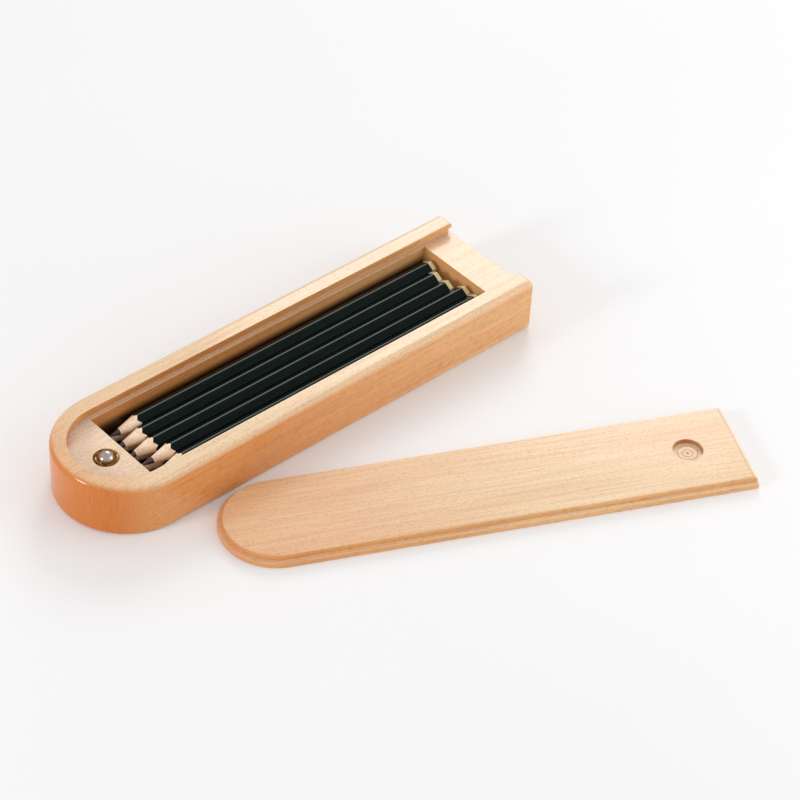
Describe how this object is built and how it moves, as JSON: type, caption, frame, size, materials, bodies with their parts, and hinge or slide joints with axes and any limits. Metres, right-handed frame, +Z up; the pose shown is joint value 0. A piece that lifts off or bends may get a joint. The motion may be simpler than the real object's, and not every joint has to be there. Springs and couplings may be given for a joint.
{
  "type": "pencil box",
  "caption": "Long wooden pencil box, rounded at one end, with a sliding lid lying beside it, a sprung ball catch and sharpened hexagonal pencils in its pocket.",
  "frame": {"origin": "centre of the box's base, midway between its round end and its square end", "axes": "+X along the box towards its square open end, +Z up; the lid lies on the same plane as the base, on the -Y side"},
  "size_m": [0.2516, 0.196, 0.0252],
  "materials": {
    "box_beech": "clear satin varnish on beech, grain along the box",
    "lid_beech": "clear satin varnish on beech, grain along the lid",
    "catch_brass": "plain turned brass",
    "ball_steel": "polished bearing steel",
    "spring_steel": "drawn spring wire",
    "pencil_wood": "bare cedar as a sharpener leaves it",
    "graphite": "graphite and clay, slightly shiny",
    "pencil_lacquer": "dark green gloss lacquer",
    "pencil_end_paint": "cream gloss dip"
  },
  "bodies": {
    "box": {"box_body": "box_beech", "catch_cup": "catch_brass", "catch_spring": "spring_steel"},
    "catch_ball": {"catch_ball": "ball_steel"},
    "lid": {"lid_panel": "lid_beech"},
    "top_pencil_1": {"top_pencil_1_wood": "pencil_wood", "top_pencil_1_lead": "graphite", "top_pencil_1_lacquer": "pencil_lacquer", "top_pencil_1_end_dip": "pencil_end_paint"},
    "top_pencil_2": {"top_pencil_2_wood": "pencil_wood", "top_pencil_2_lead": "graphite", "top_pencil_2_lacquer": "pencil_lacquer", "top_pencil_2_end_dip": "pencil_end_paint"},
    "top_pencil_3": {"top_pencil_3_wood": "pencil_wood", "top_pencil_3_lead": "graphite", "top_pencil_3_lacquer": "pencil_lacquer", "top_pencil_3_end_dip": "pencil_end_paint"},
    "top_pencil_4": {"top_pencil_4_wood": "pencil_wood", "top_pencil_4_lead": "graphite", "top_pencil_4_lacquer": "pencil_lacquer", "top_pencil_4_end_dip": "pencil_end_paint"},
    "top_pencil_5": {"top_pencil_5_wood": "pencil_wood", "top_pencil_5_lead": "graphite", "top_pencil_5_lacquer": "pencil_lacquer", "top_pencil_5_end_dip": "pencil_end_paint"},
    "bottom_pencil_1": {"bottom_pencil_1_wood": "pencil_wood", "bottom_pencil_1_lead": "graphite", "bottom_pencil_1_lacquer": "pencil_lacquer", "bottom_pencil_1_end_dip": "pencil_end_paint"},
    "bottom_pencil_2": {"bottom_pencil_2_wood": "pencil_wood", "bottom_pencil_2_lead": "graphite", "bottom_pencil_2_lacquer": "pencil_lacquer", "bottom_pencil_2_end_dip": "pencil_end_paint"},
    "bottom_pencil_3": {"bottom_pencil_3_wood": "pencil_wood", "bottom_pencil_3_lead": "graphite", "bottom_pencil_3_lacquer": "pencil_lacquer", "bottom_pencil_3_end_dip": "pencil_end_paint"},
    "bottom_pencil_4": {"bottom_pencil_4_wood": "pencil_wood", "bottom_pencil_4_lead": "graphite", "bottom_pencil_4_lacquer": "pencil_lacquer", "bottom_pencil_4_end_dip": "pencil_end_paint"},
    "bottom_pencil_5": {"bottom_pencil_5_wood": "pencil_wood", "bottom_pencil_5_lead": "graphite", "bottom_pencil_5_lacquer": "pencil_lacquer", "bottom_pencil_5_end_dip": "pencil_end_paint"},
    "bottom_pencil_6": {"bottom_pencil_6_wood": "pencil_wood", "bottom_pencil_6_lead": "graphite", "bottom_pencil_6_lacquer": "pencil_lacquer", "bottom_pencil_6_end_dip": "pencil_end_paint"}
  },
  "joints": [
    {"name": "catch_press", "type": "slide", "parent": "box", "child": "catch_ball", "axis": [0, 0, 1], "range_m": [-0.00267, 0], "stiffness_N_per_m": 600, "springref_m": 0.0025, "deforming": ["catch_spring"]},
    {"name": "lid_slide", "type": "slide", "parent": "box", "child": "lid", "axis": [0.9018, -0.4321, 0], "range_m": [0, 0.2228]},
    {"name": "top_pencil_1_lift", "type": "slide", "parent": "box", "child": "top_pencil_1", "axis": [0, 0, 1], "range_m": [0, 0.04]},
    {"name": "top_pencil_2_lift", "type": "slide", "parent": "box", "child": "top_pencil_2", "axis": [0, 0, 1], "range_m": [0, 0.04]},
    {"name": "top_pencil_3_lift", "type": "slide", "parent": "box", "child": "top_pencil_3", "axis": [0, 0, 1], "range_m": [0, 0.04]},
    {"name": "top_pencil_4_lift", "type": "slide", "parent": "box", "child": "top_pencil_4", "axis": [0, 0, 1], "range_m": [0, 0.04]},
    {"name": "top_pencil_5_lift", "type": "slide", "parent": "box", "child": "top_pencil_5", "axis": [0, 0, 1], "range_m": [0, 0.04]},
    {"name": "bottom_pencil_1_endwise", "type": "slide", "parent": "box", "child": "bottom_pencil_1", "axis": [1, 0, 0], "range_m": [-0.0024, 0.0034]},
    {"name": "bottom_pencil_2_endwise", "type": "slide", "parent": "box", "child": "bottom_pencil_2", "axis": [1, 0, 0], "range_m": [-0.0014, 0.0044]},
    {"name": "bottom_pencil_3_endwise", "type": "slide", "parent": "box", "child": "bottom_pencil_3", "axis": [1, 0, 0], "range_m": [-0.002, 0.0038]},
    {"name": "bottom_pencil_4_endwise", "type": "slide", "parent": "box", "child": "bottom_pencil_4", "axis": [1, 0, 0], "range_m": [-0.0012, 0.0046]},
    {"name": "bottom_pencil_5_endwise", "type": "slide", "parent": "box", "child": "bottom_pencil_5", "axis": [1, 0, 0], "range_m": [-0.0018, 0.004]},
    {"name": "bottom_pencil_6_endwise", "type": "slide", "parent": "box", "child": "bottom_pencil_6", "axis": [1, 0, 0], "range_m": [-0.0022, 0.0036]}
  ]
}
